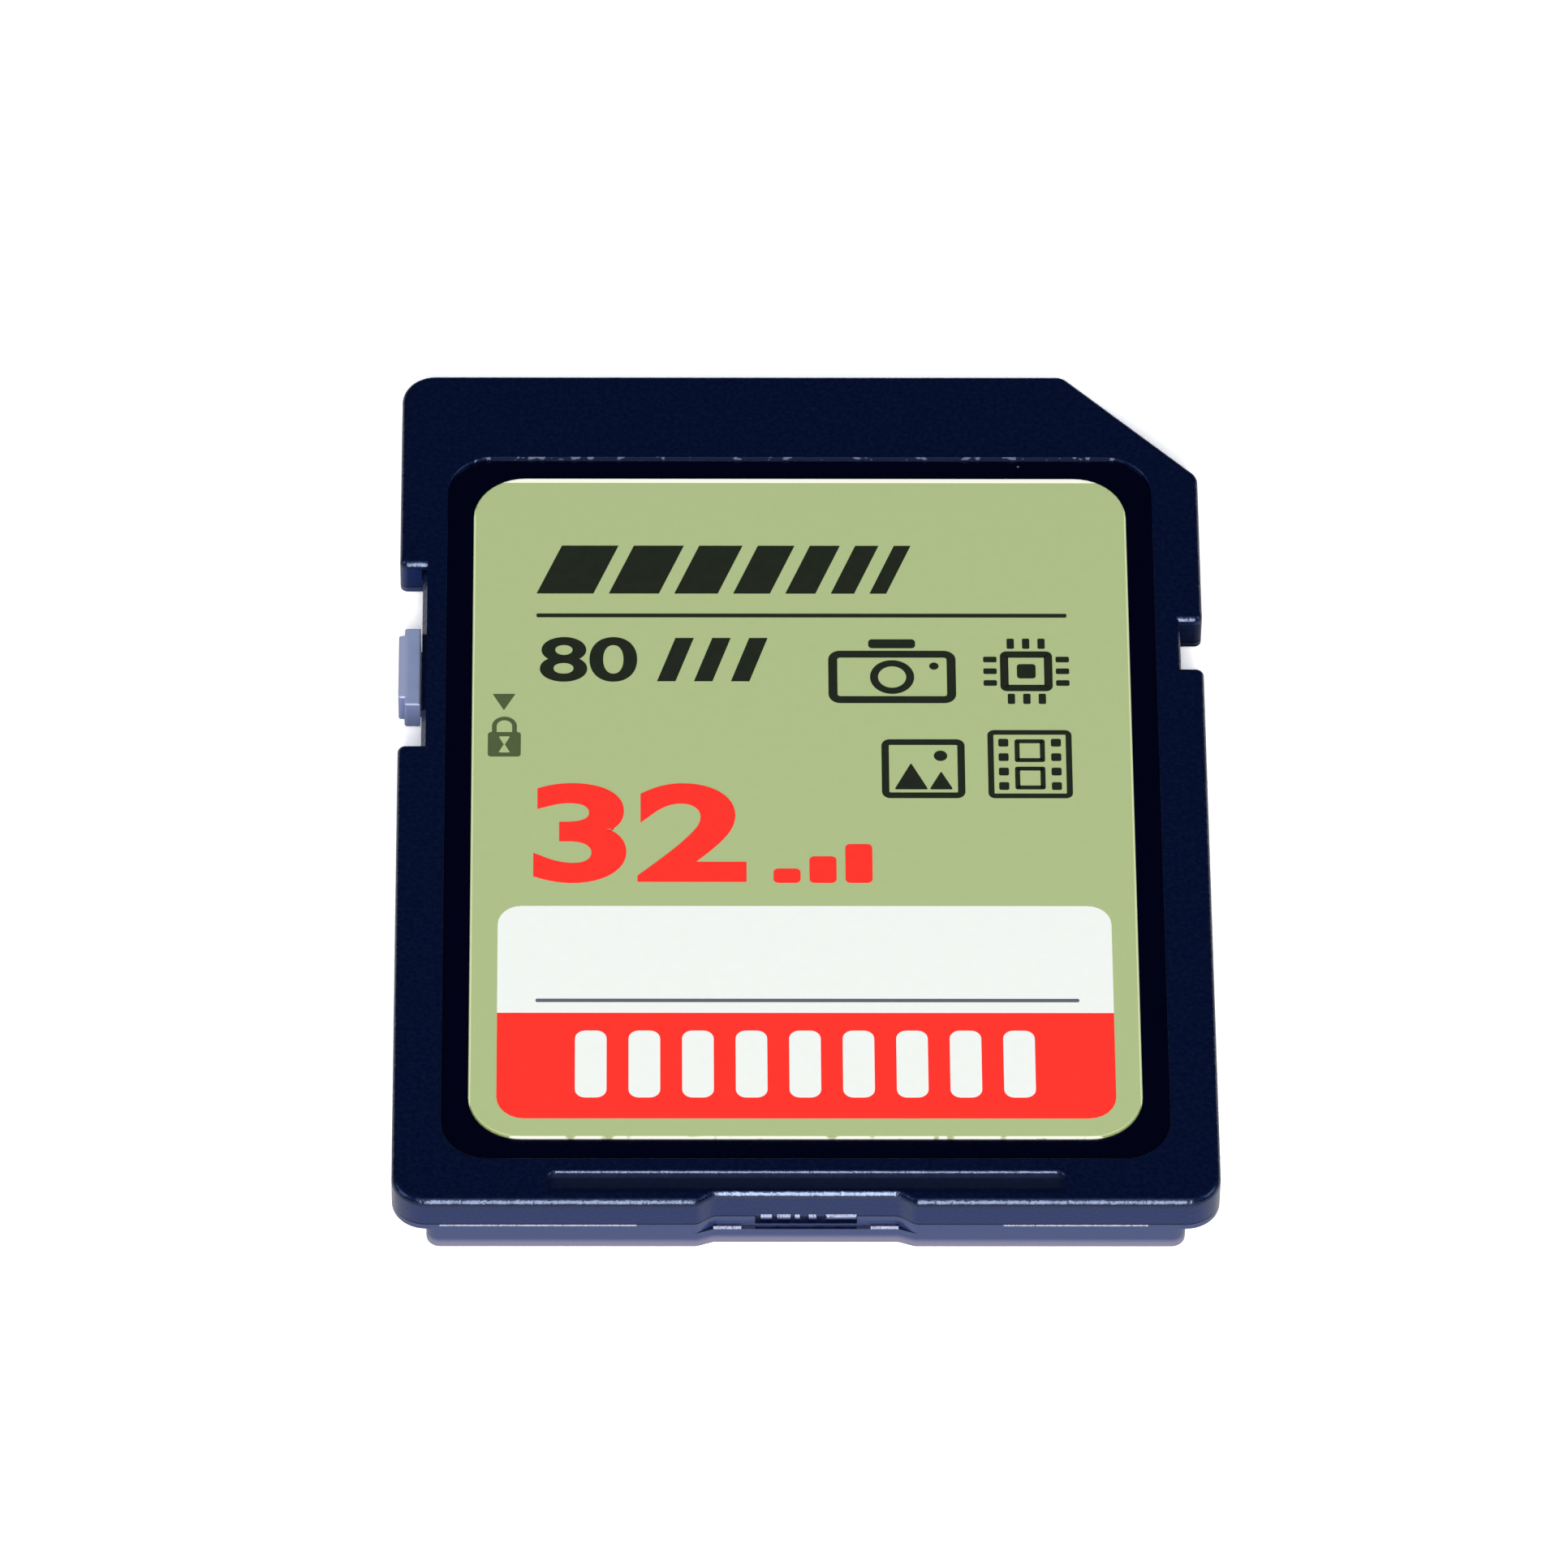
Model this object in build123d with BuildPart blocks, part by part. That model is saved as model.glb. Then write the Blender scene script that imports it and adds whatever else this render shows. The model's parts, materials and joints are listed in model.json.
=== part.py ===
# Full-size memory card: two moulded shells, a lock slider, a label, and the circuit inside.
# Millimetres. +Z points out of the label face, +Y towards the contact end, +X towards the cut corner.
# The origin is the middle of the back face, on which the card lies.
from build123d import *
import os
from math import sqrt

# Card outline, the full-size format
card_width = 24.0
card_length = 32.0
card_thickness = 2.1
corner_radius = 1.0
corner_cut = 4.0  # 45 degree cut at one leading corner
cut_end_radius = 0.5
edge_radius = 0.2  # soft moulded edge round the label face
back_edge_radius = 0.06  # crisper edge round the back face
rail_thickness = 1.4  # side rails, measured from the label face
rail_width = 1.0  # how far the back steps in under each rail
rail_bevel = 0.16  # along the underside of the rails
back_corner_radius = 0.4

# Walls and heights of the shells
seam_height = 1.05  # where the two shells meet
seam_bevel = 0.05  # where the back shell stands a little proud at the seam
seam_bevel_height = 0.07
seam_bevel_runs = [(-10.6, -4.9), (5.7, 9.9)]  # its two stretches along the trailing edge
back_wall = 0.6  # side wall of the stepped-in back
end_wall = 0.9  # wall at both ends and along the cut corner
floor_thickness = 0.35
cover_thickness = 0.28  # front shell under the label recess

# Notches in the side edges
lock_notch_from_lead = 7.63
lock_notch_length = 7.02
lock_notch_depth = 0.83
lock_slope = 0.14  # ledge that leans out of the notch floor
lock_slope_drop = 0.25  # top of that ledge below the label face
lock_slope_foot = 0.6  # its end above the seam
lock_relief_width = 0.36  # pocket in the notch's leading wall
lock_relief_height = 0.46
lock_relief_depth = 0.5
side_notch_from_lead = 9.79
side_notch_length = 1.85
side_notch_depth = 0.67
notch_corner_radius = 0.22

# Thumb notch in the trailing edge, with the moulding mark in it
thumb_notch_width = 6.3
thumb_notch_slope = 0.47  # length of each slanted side along the edge
thumb_notch_depth = 0.31
thumb_notch_radius = 0.4
thumb_lip_depth = 0.16  # the notch is shallower at its foot
thumb_lip_height = 0.715
thumb_lip_bevel = 0.05
thumb_lip_bevel_height = 0.07
gate_width = 2.95
gate_depth = 0.28
gate_rise = 0.09  # top of the gate mark above the seam
gate_relief_width = 3.75  # bevel of the lip left out beside the gate mark
gate_stubs = [  # what is left of the gate: middle and width
    (-1.15, 0.32),
    (-0.64, 0.38),
    (-0.25, 0.14),
    (0.19, 0.22),
    (1.02, 0.88),
]
gate_stub_bottom = 0.88
gate_stub_height = 0.16
gate_stub_setback = 0.03
gate_stub_bevel = 0.08

# Nail groove across the trailing end of the label face
nail_groove_width = 14.9
nail_groove_from_trail = 1.13
nail_groove_length = 0.78
nail_groove_depth = 0.24
nail_groove_lean = 0.05  # lean of its steep side
nail_groove_radius = 0.1  # along the top of that side
nail_groove_end_radius = 0.2

# Label recess and label
recess_side_margin = 1.42
recess_trail_margin = 1.64
recess_lead_margin = 3.36
recess_radius = 1.4
recess_depth = 0.12
recess_edge = 0.05
label_margin = 0.78  # bare recess floor all round the label
label_radius = 1.55
label_thickness = 0.09
label_edge_radius = 0.06

# Lock slider
slider_length = 3.0
slider_from_notch = 2.34  # rest place, measured from the leading end of the notch
slider_gap = 0.18  # from the notch floor to the slider
grip_length = 2.44
grip_depth = 0.18
tab_inset = 0.2  # slider below the label face and above the rail's underside
tab_corner_radius = 0.08
web_length = 2.4
web_thickness = 0.18
web_drop = 0.08  # web below the seam
foot_length = 3.4
foot_depth = 0.55
foot_drop = 0.25  # foot below the seam
foot_rise = 0.6  # foot above the seam
slide_clearance = 0.04
tab_edge = 0.04
guide_thickness = 0.35
guide_overrun = 0.3  # guide rib past each end of the lock notch
guide_rise = 0.25

# Contacts and their windows
contact_recess = 0.7  # depth of the contacts below the back face
contact_thickness = 0.04
contact_length = 4.2
contact_from_lead = 1.3
contact_width = 1.6
contact_7_width = 1.2
contact_8_width = 1.0
contact_7_shift = 0.075  # contact 7 stands this much closer than the even pitch
contact_8_shift = 0.8
contact_9_length = 3.0
contact_radius = 0.15
contact_row_margin = 0.14  # from the outer windows to the side walls
window_clearance = 0.05
platform_margin = 0.55  # platform under the board past the last window

# Circuit board
board_thickness = 0.3
board_length = 21.5
board_clearance = 0.1
board_contact_margin = 0.3
board_rest_length = 14.0
board_rest_width = 0.6
board_rest_inset = 0.8
hold_down_length = 14.0
hold_down_width = 0.5
hold_down_inset = 0.8
hold_down_shift = -1.0
hold_down_gap = 0.02

# Ribs under the cover and pegs that line the shells up
tail_rib_count = 5
tail_rib_pitch = 3.0
tail_rib_width = 0.4
tail_rib_margin = 0.6
rib_headroom = 0.05
peg_radius = 0.45
peg_depth = 0.4
peg_inset = 1.5
peg_clearance = 0.04
boss_wall = 0.5

# Chips and small components on the board
flash_width = 13.0
flash_length = 9.5
flash_headroom = 0.05
flash_shift = 1.0
flash_inset = 1.0  # from the trailing end of the board
controller_size = 5.5
controller_height = 0.42
controller_shift = -1.5
controller_inset = 2.2  # from the leading end of the board
chip_mark_radius = 0.3
chip_mark_depth = 0.04
chip_mark_inset = 0.8
capacitor_width = 0.5
capacitor_length = 1.0
capacitor_height = 0.33
capacitor_gap = 1.0  # between the flash chip and the row of capacitors
capacitor_pitch = 1.2
capacitor_row = 4
side_capacitor_gap = 1.4  # between the controller and the pair beside it
side_capacitor_pitch = 2.0
resistor_width = 0.3
resistor_length = 0.6
resistor_height = 0.23
resistor_gap = 1.0  # between the controller and the row of resistors
resistor_pitch = 0.8
resistor_row = 5
component_edge = 0.03

# Levels and places that follow from the sizes above
half_width = card_width / 2
half_length = card_length / 2
rail_floor = card_thickness - rail_thickness
recess_floor = card_thickness - recess_depth
ceiling = recess_floor - cover_thickness
board_bottom = contact_recess + contact_thickness
board_top = board_bottom + board_thickness
cavity_half_width = half_width - rail_width - back_wall
cavity_half_length = half_length - end_wall
cut_line = half_width + half_length - corner_cut  # x + y along the cut corner
cavity_cut_line = cut_line - end_wall * sqrt(2)
lock_notch_lead = half_length - lock_notch_from_lead
lock_notch_y = lock_notch_lead - lock_notch_length / 2
side_notch_y = half_length - side_notch_from_lead - side_notch_length / 2
thumb_notch_floor = -half_length + thumb_notch_depth
thumb_lip_floor = -half_length + thumb_lip_depth
nail_groove_y = -half_length + nail_groove_from_trail
nail_groove_middle = Vector(0, nail_groove_y - nail_groove_lean / 2, card_thickness - nail_groove_depth / 2)
thumb_notch_floor_width = thumb_notch_width - 2 * thumb_notch_slope
slider_y = lock_notch_lead - slider_from_notch - slider_length / 2
lock_notch_trail = lock_notch_lead - lock_notch_length
lock_notch_floor = -half_width + lock_notch_depth
lock_notch_middle = Vector(lock_notch_floor, lock_notch_y, card_thickness)
lock_slope_edge = lock_notch_floor - lock_slope
web_bottom = seam_height - web_drop
track_bottom = web_bottom - slide_clearance
track_top = web_bottom + web_thickness + slide_clearance
foot_outer = -cavity_half_width + slide_clearance
foot_inner = foot_outer + foot_depth
guide_outer = foot_inner + slide_clearance
guide_inner = guide_outer + guide_thickness
board_half_width = cavity_half_width - board_clearance
board_lead = cavity_half_length - board_clearance
board_trail = board_lead - board_length
board_cut_line = cavity_cut_line - board_clearance * sqrt(2)
window_width = contact_width + 2 * window_clearance
window_8_width = contact_8_width + 2 * window_clearance

# The contacts, from the cut corner to the lock side: number, x, width, leading end and trailing end
contact_row_width = 2 * (cavity_half_width - contact_row_margin)
contact_pitch = (
    contact_row_width - (window_width + window_8_width) / 2 + contact_7_shift + contact_8_shift
) / 8
contact_lead = half_length - contact_from_lead
contact_x = cavity_half_width - contact_row_margin - window_width / 2
contact_9_lead = board_cut_line - board_contact_margin * sqrt(2) - contact_x - contact_width / 2
contacts = [(9, contact_x, contact_width, contact_9_lead, contact_9_lead - contact_9_length)]
for number in range(1, 9):
    contact_x -= contact_pitch
    width = contact_width
    if number == 7:
        contact_x += contact_7_shift
        width = contact_7_width
    if number == 8:
        contact_x += contact_8_shift
        width = contact_8_width
    contacts.append((number, contact_x, width, contact_lead, contact_lead - contact_length))
platform_trail = min(contact[4] for contact in contacts) - window_clearance - platform_margin


def thumb_outline(floor):
    """Corners of the thumb notch's plan down to its floor."""
    return [
        (-thumb_notch_width / 2, -half_length),
        (-thumb_notch_floor_width / 2, floor),
        (thumb_notch_floor_width / 2, floor),
        (thumb_notch_width / 2, -half_length),
    ]


def at_thumb_notch(corner):
    """Tell the thumb notch's corners from the others of a plan."""
    near_middle = abs(corner.X) < thumb_notch_width / 2 + thumb_notch_slope
    return near_middle and corner.Y < thumb_notch_floor + thumb_notch_depth


# Plan of the card at its full width
with BuildSketch() as card_plan:
    Rectangle(card_width, card_length)
    fillet(vertices().group_by(Axis.Y)[0], corner_radius)
    fillet(vertices().group_by(Axis.Y)[-1].sort_by(Axis.X)[0], corner_radius)
    chamfer(vertices().group_by(Axis.Y)[-1].sort_by(Axis.X)[-1], corner_cut)
    fillet(vertices().group_by(Axis.Y)[-1].sort_by(Axis.X)[-1], cut_end_radius)
    fillet(vertices().group_by(Axis.X)[-1].sort_by(Axis.Y)[-1], cut_end_radius)
    with Locations((half_width, side_notch_y)):
        Rectangle(2 * side_notch_depth, side_notch_length, mode=Mode.SUBTRACT)
    side_notch_corners = vertices().group_by(Axis.X)[-1].sort_by(lambda v: abs(v.Y - side_notch_y))
    fillet(side_notch_corners[:2], notch_corner_radius)
    with BuildLine():
        Polyline(*thumb_outline(thumb_notch_floor), close=True)
    make_face(mode=Mode.SUBTRACT)
    fillet(vertices().filter_by(at_thumb_notch), thumb_notch_radius)

# The same plan with the lock notch, at its full depth and at the foot of its ledge
notched_plans = []
for notch_depth in (lock_notch_depth, lock_notch_depth - lock_slope):
    with BuildSketch() as notched_plan:
        add(card_plan.sketch)
        with Locations((-half_width, lock_notch_y)):
            Rectangle(2 * notch_depth, lock_notch_length, mode=Mode.SUBTRACT)
        lock_notch_corners = vertices().group_by(Axis.X)[0].sort_by(lambda v: abs(v.Y - lock_notch_y))
        fillet(lock_notch_corners[:2], notch_corner_radius)
    notched_plans.append(notched_plan.sketch)
face_plan, rail_plan = notched_plans

# Plans of the back between the side rails, with the thumb notch at its full depth and at its lip
back_plans = []
for notch_floor in (thumb_notch_floor, thumb_lip_floor):
    with BuildSketch() as back_plan:
        Rectangle(card_width - 2 * rail_width, card_length)
        fillet(vertices().group_by(Axis.Y)[0], back_corner_radius)
        fillet(vertices().group_by(Axis.Y)[-1].sort_by(Axis.X)[0], back_corner_radius)
        chamfer(vertices().group_by(Axis.Y)[-1].sort_by(Axis.X)[-1], corner_cut - rail_width)
        with BuildLine():
            Polyline(*thumb_outline(notch_floor), close=True)
        make_face(mode=Mode.SUBTRACT)
        fillet(vertices().filter_by(at_thumb_notch), thumb_notch_radius)
    back_plans.append(back_plan.sketch)

# Plan of the hollow between the shells
with BuildSketch() as cavity_plan:
    Rectangle(2 * cavity_half_width, 2 * cavity_half_length)
    chamfer(
        vertices().group_by(Axis.Y)[-1].sort_by(Axis.X)[-1],
        cavity_half_width + cavity_half_length - cavity_cut_line,
    )

# Plan of the track that the slider's web runs in, through the wall behind the lock notch
with BuildSketch() as track_plan:
    with Locations((lock_slope_edge, lock_notch_trail)):
        Rectangle(
            -cavity_half_width - lock_slope_edge, lock_notch_length, align=(Align.MIN, Align.MIN)
        )

pegs = [
    (-cavity_half_width + peg_inset, -cavity_half_length + peg_inset),
    (cavity_half_width - peg_inset, -cavity_half_length + peg_inset),
]

# Front shell: label face, notches, nail groove, slider slot and the hollow under the cover
with BuildPart() as front_shell:
    with BuildSketch(Plane.XY.offset(seam_height)):
        add(face_plan)
    extrude(amount=card_thickness - seam_height)
    face_edges = front_shell.faces().sort_by(Axis.Z)[-1].edges()
    fillet(face_edges.sort_by_distance(lock_notch_middle)[1:], edge_radius)
    with BuildSketch(Plane.XZ.offset(-lock_notch_trail)):
        with BuildLine():
            Polyline(
                (lock_notch_floor, seam_height),
                (lock_slope_edge, seam_height),
                (lock_slope_edge, seam_height + lock_slope_foot),
                (lock_notch_floor, card_thickness - lock_slope_drop),
                close=True,
            )
        make_face()
    extrude(amount=-lock_notch_length)
    with BuildSketch(Plane.XY.offset(card_thickness)):
        with Locations((0, (recess_trail_margin - recess_lead_margin) / 2)):
            RectangleRounded(
                card_width - 2 * recess_side_margin,
                card_length - recess_trail_margin - recess_lead_margin,
                recess_radius,
            )
    extrude(amount=-recess_depth, mode=Mode.SUBTRACT)
    label_face = front_shell.faces().group_by(Axis.Z)[-1].sort_by(SortBy.AREA)[-1]
    fillet(label_face.inner_wires()[0].edges(), recess_edge)
    with BuildSketch(Plane.YZ.offset(-nail_groove_width / 2)):
        with BuildLine():
            Polyline(
                (nail_groove_y, card_thickness),
                (nail_groove_y - nail_groove_lean, card_thickness - nail_groove_depth),
                (nail_groove_y - nail_groove_length, card_thickness),
                close=True,
            )
        make_face()
    extrude(amount=nail_groove_width, mode=Mode.SUBTRACT)
    groove_ends = front_shell.faces().sort_by_distance(nail_groove_middle)[0].edges().sort_by(Axis.X)
    fillet([groove_ends[0], groove_ends[-1]], nail_groove_end_radius)
    groove_side = front_shell.faces().sort_by_distance(nail_groove_middle)[0]
    fillet(groove_side.edges().sort_by(Axis.Z)[-1], nail_groove_radius)
    with BuildSketch(Plane.XY.offset(seam_height)):
        add(cavity_plan.sketch)
    extrude(amount=ceiling - seam_height, mode=Mode.SUBTRACT)
    with BuildSketch(Plane.XY.offset(seam_height)):
        add(track_plan.sketch)
    extrude(amount=track_top - seam_height, mode=Mode.SUBTRACT)
    with BuildSketch(Plane.XZ.offset(-lock_notch_lead)):
        with Locations((lock_notch_floor, card_thickness - lock_slope_drop)):
            Rectangle(lock_relief_width, lock_relief_height, align=(Align.CENTER, Align.MAX))
    extrude(amount=-lock_relief_depth, mode=Mode.SUBTRACT)
    with BuildSketch(Plane.XY.offset(seam_height)):
        with Locations((0, thumb_notch_floor)):
            Rectangle(gate_width, 2 * gate_depth)
    extrude(amount=gate_rise, mode=Mode.SUBTRACT)
    with BuildSketch(Plane.XY.offset(board_top + hold_down_gap)):
        with Locations((hold_down_shift, board_lead - hold_down_inset)):
            Rectangle(hold_down_length, hold_down_width)
    extrude(amount=ceiling - board_top - hold_down_gap)
    with BuildSketch(Plane.XY.offset(seam_height - peg_depth)):
        with Locations(*pegs):
            Circle(peg_radius)
    extrude(amount=ceiling - seam_height + peg_depth)
front_shell.part.label = "front_shell"

# Back shell: stepped rails, platform with the contact windows, guide rib, board rest and tail ribs
with BuildPart() as back_shell:
    with BuildSketch(Plane.XY.offset(rail_floor)):
        add(rail_plan)
    extrude(amount=seam_height - rail_floor)
    chamfer(back_shell.faces().sort_by(Axis.Z)[0].edges(), rail_bevel)
    for run_start, run_end in seam_bevel_runs:
        with BuildSketch(Plane.YZ.offset(run_start)):
            with BuildLine():
                Polyline(
                    (-half_length, seam_height),
                    (-half_length, seam_height - seam_bevel_height),
                    (-half_length + seam_bevel, seam_height),
                    close=True,
                )
            make_face()
        extrude(amount=run_end - run_start, mode=Mode.SUBTRACT)
    with BuildSketch():
        add(back_plans[0])
    extrude(amount=rail_floor + rail_bevel)
    with BuildSketch():
        add(back_plans[1])
    extrude(amount=thumb_lip_height - thumb_lip_bevel_height)
    fillet(back_shell.faces().sort_by(Axis.Z)[0].edges(), back_edge_radius)
    with BuildSketch(Plane.YZ.offset(-thumb_notch_floor_width / 2)):
        with BuildLine():
            Polyline(
                (thumb_notch_floor, thumb_lip_height - thumb_lip_bevel_height),
                (thumb_lip_floor, thumb_lip_height - thumb_lip_bevel_height),
                (thumb_lip_floor + thumb_lip_bevel, thumb_lip_height),
                (thumb_notch_floor, thumb_lip_height),
                close=True,
            )
        make_face()
    extrude(amount=thumb_notch_floor_width)
    with BuildSketch(Plane.XY.offset(board_bottom)):
        add(cavity_plan.sketch)
    extrude(amount=seam_height - board_bottom, mode=Mode.SUBTRACT)
    with BuildSketch(Plane.XY.offset(floor_thickness)):
        with Locations((0, (platform_trail - cavity_half_length) / 2)):
            Rectangle(2 * cavity_half_width, platform_trail + cavity_half_length)
    extrude(amount=board_bottom - floor_thickness, mode=Mode.SUBTRACT)
    with BuildSketch() as channels:
        for number, x, width, lead, trail in contacts:
            with Locations((x, (half_length + trail - window_clearance) / 2)):
                Rectangle(width + 2 * window_clearance, half_length - trail + window_clearance)
    extrude(amount=contact_recess, mode=Mode.SUBTRACT)
    with BuildSketch(Plane.XY.offset(contact_recess)):
        add(channels.sketch)
        add(cavity_plan.sketch, mode=Mode.INTERSECT)
    extrude(amount=contact_thickness, mode=Mode.SUBTRACT)
    with BuildSketch(Plane.XY.offset(seam_height)):
        add(track_plan.sketch)
    extrude(amount=track_bottom - seam_height, mode=Mode.SUBTRACT)
    with BuildSketch(Plane.XY.offset(thumb_lip_height - thumb_lip_bevel_height)):
        with Locations((0, -half_length)):
            Rectangle(gate_relief_width, 2 * thumb_notch_depth)
    extrude(amount=thumb_lip_bevel_height, mode=Mode.SUBTRACT)
    with BuildSketch(Plane.XY.offset(seam_height)):
        with Locations((0, thumb_notch_floor)):
            Rectangle(gate_width, 2 * gate_depth)
    extrude(amount=thumb_lip_height - seam_height, mode=Mode.SUBTRACT)
    for stub_x, stub_width in gate_stubs:
        with BuildSketch(Plane.YZ.offset(stub_x - stub_width / 2)):
            with Locations((thumb_notch_floor + gate_stub_setback, gate_stub_bottom)):
                Rectangle(gate_depth, gate_stub_height, align=Align.MIN)
            chamfer(vertices().group_by(Axis.Y)[-1].sort_by(Axis.X)[0], gate_stub_bevel)
        extrude(amount=stub_width)
    with BuildSketch(Plane.XY.offset(floor_thickness)):
        with Locations(((guide_outer + guide_inner) / 2, lock_notch_y)):
            Rectangle(guide_thickness, lock_notch_length + 2 * guide_overrun)
    extrude(amount=seam_height + guide_rise - floor_thickness)
    with BuildSketch(Plane.XY.offset(floor_thickness)):
        with Locations((0, board_trail + board_rest_inset)):
            Rectangle(board_rest_length, board_rest_width)
    extrude(amount=board_bottom - floor_thickness)
    with BuildSketch(Plane.XY.offset(floor_thickness)):
        with Locations((0, (board_trail - cavity_half_length) / 2)):
            with GridLocations(tail_rib_pitch, 0, tail_rib_count, 1):
                Rectangle(tail_rib_width, board_trail + cavity_half_length - 2 * tail_rib_margin)
    extrude(amount=ceiling - rib_headroom - floor_thickness)
    with BuildSketch(Plane.XY.offset(floor_thickness)):
        with Locations(*pegs):
            Circle(peg_radius + peg_clearance + boss_wall)
    extrude(amount=seam_height - floor_thickness)
    with BuildSketch(Plane.XY.offset(seam_height)):
        with Locations(*pegs):
            Circle(peg_radius + peg_clearance)
    extrude(amount=-peg_depth - slide_clearance, mode=Mode.SUBTRACT)
back_shell.part.label = "back_shell"

# Lock slider: T-shaped tab in the notch, web through the slot, foot held behind the wall
with BuildPart() as lock_slider:
    tab_inner = -half_width + lock_notch_depth - slider_gap
    tab_step = -half_width + grip_depth
    with BuildSketch(Plane.XY.offset(rail_floor + tab_inset)):
        with Locations(((tab_step + tab_inner) / 2, slider_y)):
            Rectangle(tab_inner - tab_step, slider_length)
        with Locations(((tab_step - half_width) / 2, slider_y)):
            Rectangle(grip_depth, grip_length)
        fillet(vertices().group_by(Axis.X)[0], tab_corner_radius)
        fillet(vertices().group_by(Axis.Y)[0].sort_by(Axis.X)[0], tab_corner_radius)
        fillet(vertices().group_by(Axis.Y)[-1].sort_by(Axis.X)[0], tab_corner_radius)
    extrude(amount=card_thickness - rail_floor - 2 * tab_inset)
    chamfer(lock_slider.faces().sort_by(Axis.Z)[-1].edges(), tab_edge)
    with BuildSketch(Plane.XY.offset(web_bottom)):
        with Locations(((tab_step + foot_inner) / 2, slider_y)):
            Rectangle(foot_inner - tab_step, web_length)
    extrude(amount=web_thickness)
    with BuildSketch(Plane.XY.offset(seam_height - foot_drop)):
        with Locations(((foot_outer + foot_inner) / 2, slider_y)):
            Rectangle(foot_depth, foot_length)
    extrude(amount=foot_drop + foot_rise)
lock_slider.part.label = "lock_slider"

# Front label lying on the floor of the recess
with BuildPart() as front_label:
    with BuildSketch(Plane.XY.offset(recess_floor)):
        with Locations((0, (recess_trail_margin - recess_lead_margin) / 2)):
            RectangleRounded(
                card_width - 2 * (recess_side_margin + label_margin),
                card_length - recess_trail_margin - recess_lead_margin - 2 * label_margin,
                label_radius,
            )
    extrude(amount=label_thickness)
    fillet(front_label.faces().sort_by(Axis.Z)[-1].edges(), label_edge_radius)
front_label.part.label = "front_label"

# Circuit board on the platform, cut away beside the slider's guide rib
with BuildPart() as circuit_board:
    with BuildSketch(Plane.XY.offset(board_bottom)):
        with Locations((0, (board_lead + board_trail) / 2)):
            Rectangle(2 * board_half_width, board_length)
        chamfer(
            vertices().group_by(Axis.Y)[-1].sort_by(Axis.X)[-1],
            board_half_width + board_lead - board_cut_line,
        )
        with Locations((-board_half_width, lock_notch_y)):
            Rectangle(
                2 * (board_half_width + guide_inner + board_clearance),
                lock_notch_length + 2 * (guide_overrun + board_clearance),
                mode=Mode.SUBTRACT,
            )
    extrude(amount=board_thickness)
circuit_board.part.label = "circuit_board"

pieces = [front_shell.part, back_shell.part, lock_slider.part, front_label.part, circuit_board.part]

# Contact pads on the underside of the board
for number, x, width, lead, trail in contacts:
    with BuildPart() as contact:
        with BuildSketch(Plane.XY.offset(contact_recess)):
            with Locations((x, (lead + trail) / 2)):
                RectangleRounded(width, lead - trail, contact_radius)
        extrude(amount=contact_thickness)
    contact.part.label = f"contact_{number}"
    pieces.append(contact.part)

# Flash chip and controller chip, each with a moulded mark at its first corner
flash_y = board_trail + flash_inset + flash_length / 2
with BuildPart() as flash_chip:
    with BuildSketch(Plane.XY.offset(board_top)):
        with Locations((flash_shift, flash_y)):
            Rectangle(flash_width, flash_length)
    extrude(amount=ceiling - flash_headroom - board_top)
    with BuildSketch(Plane.XY.offset(ceiling - flash_headroom)):
        with Locations(
            (
                flash_shift - flash_width / 2 + chip_mark_inset,
                flash_y + flash_length / 2 - chip_mark_inset,
            )
        ):
            Circle(chip_mark_radius)
    extrude(amount=-chip_mark_depth, mode=Mode.SUBTRACT)
flash_chip.part.label = "flash_chip"
pieces.append(flash_chip.part)

controller_y = board_lead - controller_inset - controller_size / 2
with BuildPart() as controller_chip:
    with BuildSketch(Plane.XY.offset(board_top)):
        with Locations((controller_shift, controller_y)):
            Rectangle(controller_size, controller_size)
    extrude(amount=controller_height)
    with BuildSketch(Plane.XY.offset(board_top + controller_height)):
        with Locations(
            (
                controller_shift - controller_size / 2 + chip_mark_inset,
                controller_y + controller_size / 2 - chip_mark_inset,
            )
        ):
            Circle(chip_mark_radius)
    extrude(amount=-chip_mark_depth, mode=Mode.SUBTRACT)
controller_chip.part.label = "controller_chip"
pieces.append(controller_chip.part)

# Capacitors: a row beside the flash chip and a pair beside the controller
capacitor_y = flash_y + flash_length / 2 + capacitor_gap
capacitor_x = flash_shift - capacitor_pitch * (capacitor_row - 1) / 2
capacitor_places = [(capacitor_x + capacitor_pitch * step, capacitor_y) for step in range(capacitor_row)]
pair_x = controller_shift - controller_size / 2 - side_capacitor_gap
capacitor_places.append((pair_x, controller_y + side_capacitor_pitch / 2))
capacitor_places.append((pair_x, controller_y - side_capacitor_pitch / 2))
for number, place in enumerate(capacitor_places, start=1):
    with BuildPart() as capacitor:
        with BuildSketch(Plane.XY.offset(board_top)):
            with Locations(place):
                Rectangle(capacitor_width, capacitor_length)
        extrude(amount=capacitor_height)
        chamfer(capacitor.faces().sort_by(Axis.Z)[-1].edges(), component_edge)
    capacitor.part.label = f"capacitor_{number}"
    pieces.append(capacitor.part)

# Resistors in a row beside the controller
resistor_x = controller_shift + controller_size / 2 + resistor_gap
for number in range(1, resistor_row + 1):
    with BuildPart() as resistor:
        with BuildSketch(Plane.XY.offset(board_top)):
            with Locations((resistor_x + resistor_pitch * (number - 1), controller_y)):
                Rectangle(resistor_width, resistor_length)
        extrude(amount=resistor_height)
        chamfer(resistor.faces().sort_by(Axis.Z)[-1].edges(), component_edge)
    resistor.part.label = f"resistor_{number}"
    pieces.append(resistor.part)

os.makedirs("parts", exist_ok=True)
for piece in pieces:
    export_step(piece, f"parts/{piece.label}.step")
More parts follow.
